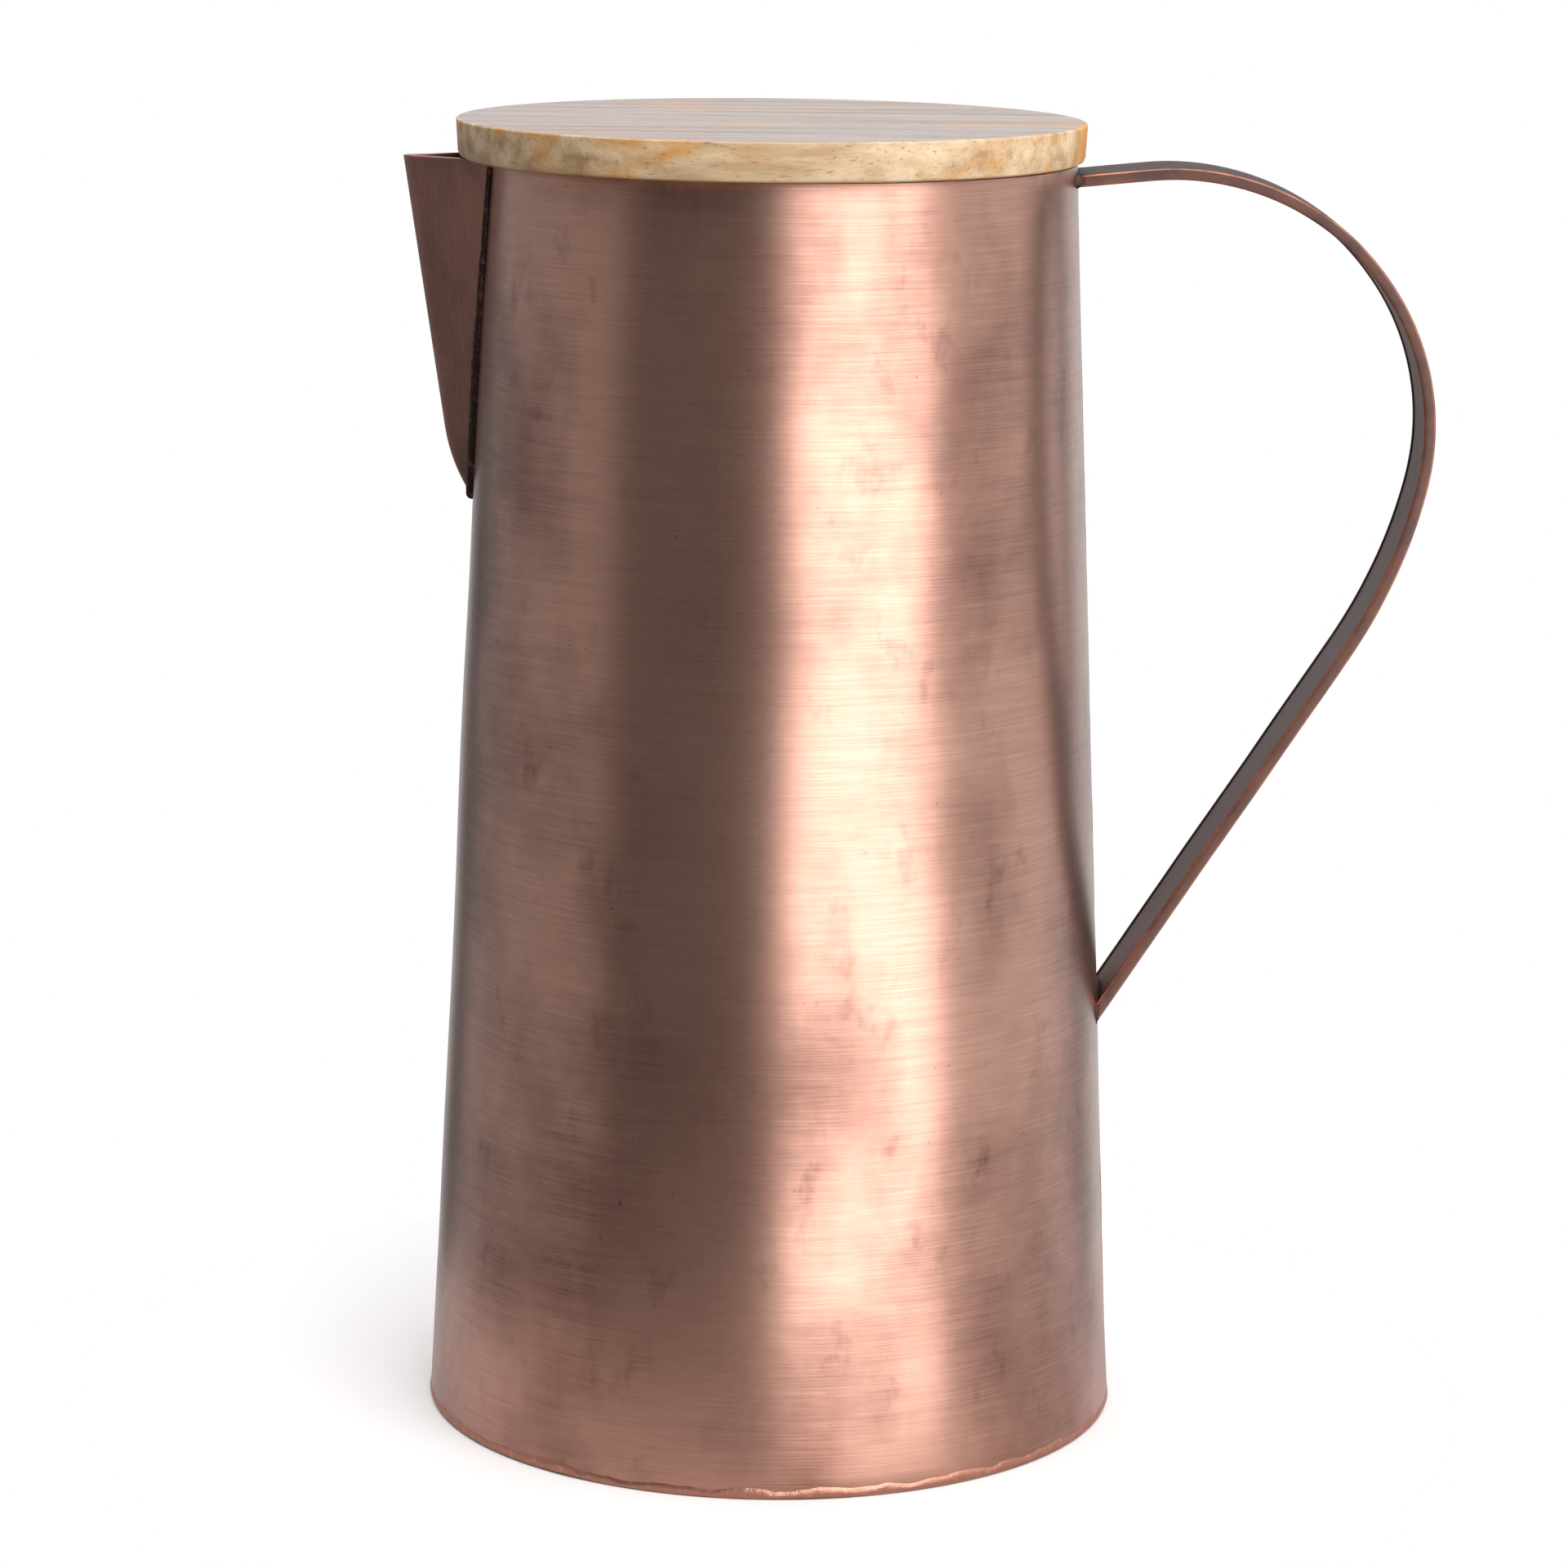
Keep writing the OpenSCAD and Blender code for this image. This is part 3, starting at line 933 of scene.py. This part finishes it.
def carry_section(section):
    shape = bmesh.new()
    wear = shape.verts.layers.float.new("wear")
    ring = bmesh.ops.create_circle(shape, cap_ends=True, radius=1, segments=len(section))["verts"]
    for index, (place, heading) in enumerate(handle_line):
        if index:
            ring = next_ring(shape, ring)
        along, outward = directions(heading)
        shift = outward * UNEVEN * (noise.noise(place / (14 * MM)) - 1) / 2
        for vert, (across, through) in zip(ring, section):
            vert.co = place + shift + outward * through + Vector((0, across, 0))
            if index in (0, len(handle_line) - 1):
                vert.co = trimmed(vert.co, along, END_DEPTH)
            vert[wear] = wear_at(across, through)
    bmesh.ops.contextual_create(shape, geom=ring_edges(shape, ring))
    bmesh.ops.recalc_face_normals(shape, faces=shape.faces)
    return shape


make_piece(carry_section(channel_section()), "handle_outer", handle_copper,
           "jug", ["handle_channel"], sharp=40)
make_piece(carry_section(strip_section()), "handle_inner", inner_copper,
           "jug", ["handle_inner_strip"], sharp=40)

# %% [markdown]
# ## Handle brazes
# A fillet of braze rings each end of the handle. A loop that follows the handle's outline starts
# wide against the wall and shrinks to the handle's own size a few millimetres out. It then turns
# back below the handle's surface to where it began, so that the fillet is one closed ring.

# %% Fillets at both ends
FILLET_SPREAD = 0.75 * MM
FILLET_CLIMB = 2.3 * MM
FILLET_ROWS = 8
# How far the thin end stands off the handle, and how far the hidden turn back lies inside it
FILLET_EDGE = 0.06 * MM
FILLET_INSIDE = 0.38 * MM
# How deep the wide end sits in the wall's sheet
FILLET_DEPTH = 0.75 * MM
LOOP_POINTS = 56


def fillet(place, heading):
    along, outward = directions(heading)
    climbs = [row / FILLET_ROWS for row in range(FILLET_ROWS + 1)]
    rows = [(FILLET_SPREAD * (1 - climb) ** 2 + FILLET_EDGE, climb) for climb in climbs]
    rows += [(-FILLET_INSIDE, 1), (-FILLET_INSIDE, 0)]
    away = 1 if along.x > 0 else -1
    shape = bmesh.new()
    ring = bmesh.ops.create_circle(shape, cap_ends=False, radius=1, segments=LOOP_POINTS)["verts"]
    angles = [math.atan2(vert.co.y, vert.co.x) for vert in ring]
    first = ring
    for row, (reach, climb) in enumerate(rows):
        if row:
            ring = next_ring(shape, ring)
        for vert, angle in zip(ring, angles):
            ripple = noise.noise(Vector((angle * 3, climb * 3, place.z / MM)))
            spread = reach * (1 + 0.35 * ripple) if reach > 0 else reach
            # Powers below 1 square the circle off to the handle's own outline.
            level = math.copysign(abs(math.cos(angle)) ** 0.25, math.cos(angle))
            upright = math.copysign(abs(math.sin(angle)) ** 0.35, math.sin(angle))
            across = level * (HANDLE_HALF + spread)
            through = upright * (HANDLE_T / 2 + spread)
            spot = trimmed(place + outward * through + Vector((0, across, 0)), along, FILLET_DEPTH)
            vert.co = spot + along * away * climb * FILLET_CLIMB
            vert.co.z = min(vert.co.z, RIM)
    bmesh.ops.bridge_loops(shape, edges=ring_edges(shape, first) + ring_edges(shape, ring))
    bmesh.ops.recalc_face_normals(shape, faces=shape.faces)
    return shape


make_piece(fillet(*handle_line[0]), "handle_joint_upper", rough_braze, "jug",
           ["handle_braze_upper"], sharp=60)
make_piece(fillet(*handle_line[-1]), "handle_joint_lower", rough_braze, "jug",
           ["handle_braze_lower"], sharp=60)

# %% [markdown]
# ## Lid
# The lid is turned from one piece of wood, so half of its outline is spun about its axis. Sanding
# has eased every edge, and the lower edge carries a small chamfer.

# %% Turn the lid
lid_low, lid_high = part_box("lid")
LID_X = (lid_low.x + lid_high.x) / 2
LID_R = (lid_high.x - lid_low.x) / 2
LID_T = 7 * MM
PLUG_R = 50 * MM
LID_UNDER = lid_high.z - LID_T
SIDE_DRAFT = 0.3 * MM
EASE = 0.45 * MM
PLUG_CHAMFER = 0.8 * MM
LOWER_R = LID_R - SIDE_DRAFT
shape = bmesh.new()
# The outline, as radius and height, from the middle of the plug's underside to the top's middle
outline = [(0, lid_low.z),
           (PLUG_R - PLUG_CHAMFER, lid_low.z),
           (PLUG_R, lid_low.z + PLUG_CHAMFER),
           (PLUG_R, LID_UNDER),
           (LOWER_R - 1.0 * MM, LID_UNDER),
           (LOWER_R - 0.3 * MM, LID_UNDER + 0.35 * MM),
           (LOWER_R, LID_UNDER + 1.1 * MM)]
outline += [(LID_R - EASE + radius, lid_high.z - EASE + rise)
            for radius, rise in corner(0, 0, EASE, 0, 5)]
outline += [(LID_R * share, lid_high.z) for share in (0.9, 0.6, 0.3, 0)]
points = [shape.verts.new((LID_X + radius, 0, height)) for radius, height in outline]
edges = [shape.edges.new(pair) for pair in zip(points, points[1:])]
bmesh.ops.spin(shape, geom=points + edges, cent=(LID_X, 0, 0), axis=(0, 0, 1),
               angle=2 * math.pi, steps=200, use_merge=True)
bmesh.ops.remove_doubles(shape, verts=shape.verts, dist=0.001 * MM)
sanded_and_sheen_layer = shape.verts.layers.float.new("sanded_and_sheen")
# 1 on the top face, which takes the greyer colours of sanding and painted sheen.
for vert in shape.verts:
    vert[sanded_and_sheen_layer] = 1.0 if vert.co.z > lid_high.z - 0.01 * MM else 0.0
bmesh.ops.recalc_face_normals(shape, faces=shape.faces)
make_piece(shape, "lid_turned", wood, "lid", ["lid"], sharp=40)

# %% [markdown]
# ## Compare the boxes
# The visual model's box is compared with the imported model's box, and how far each corner moved is
# printed. The visual model has to stay inside the imported model's box.

# %% Compare both boxes
new_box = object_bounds()
for end, old, new in zip(("low", "high"), cad_box, new_box):
    print(end, "corner moved by", [round((b - a) / MM, 2) for a, b in zip(old, new)], "mm")
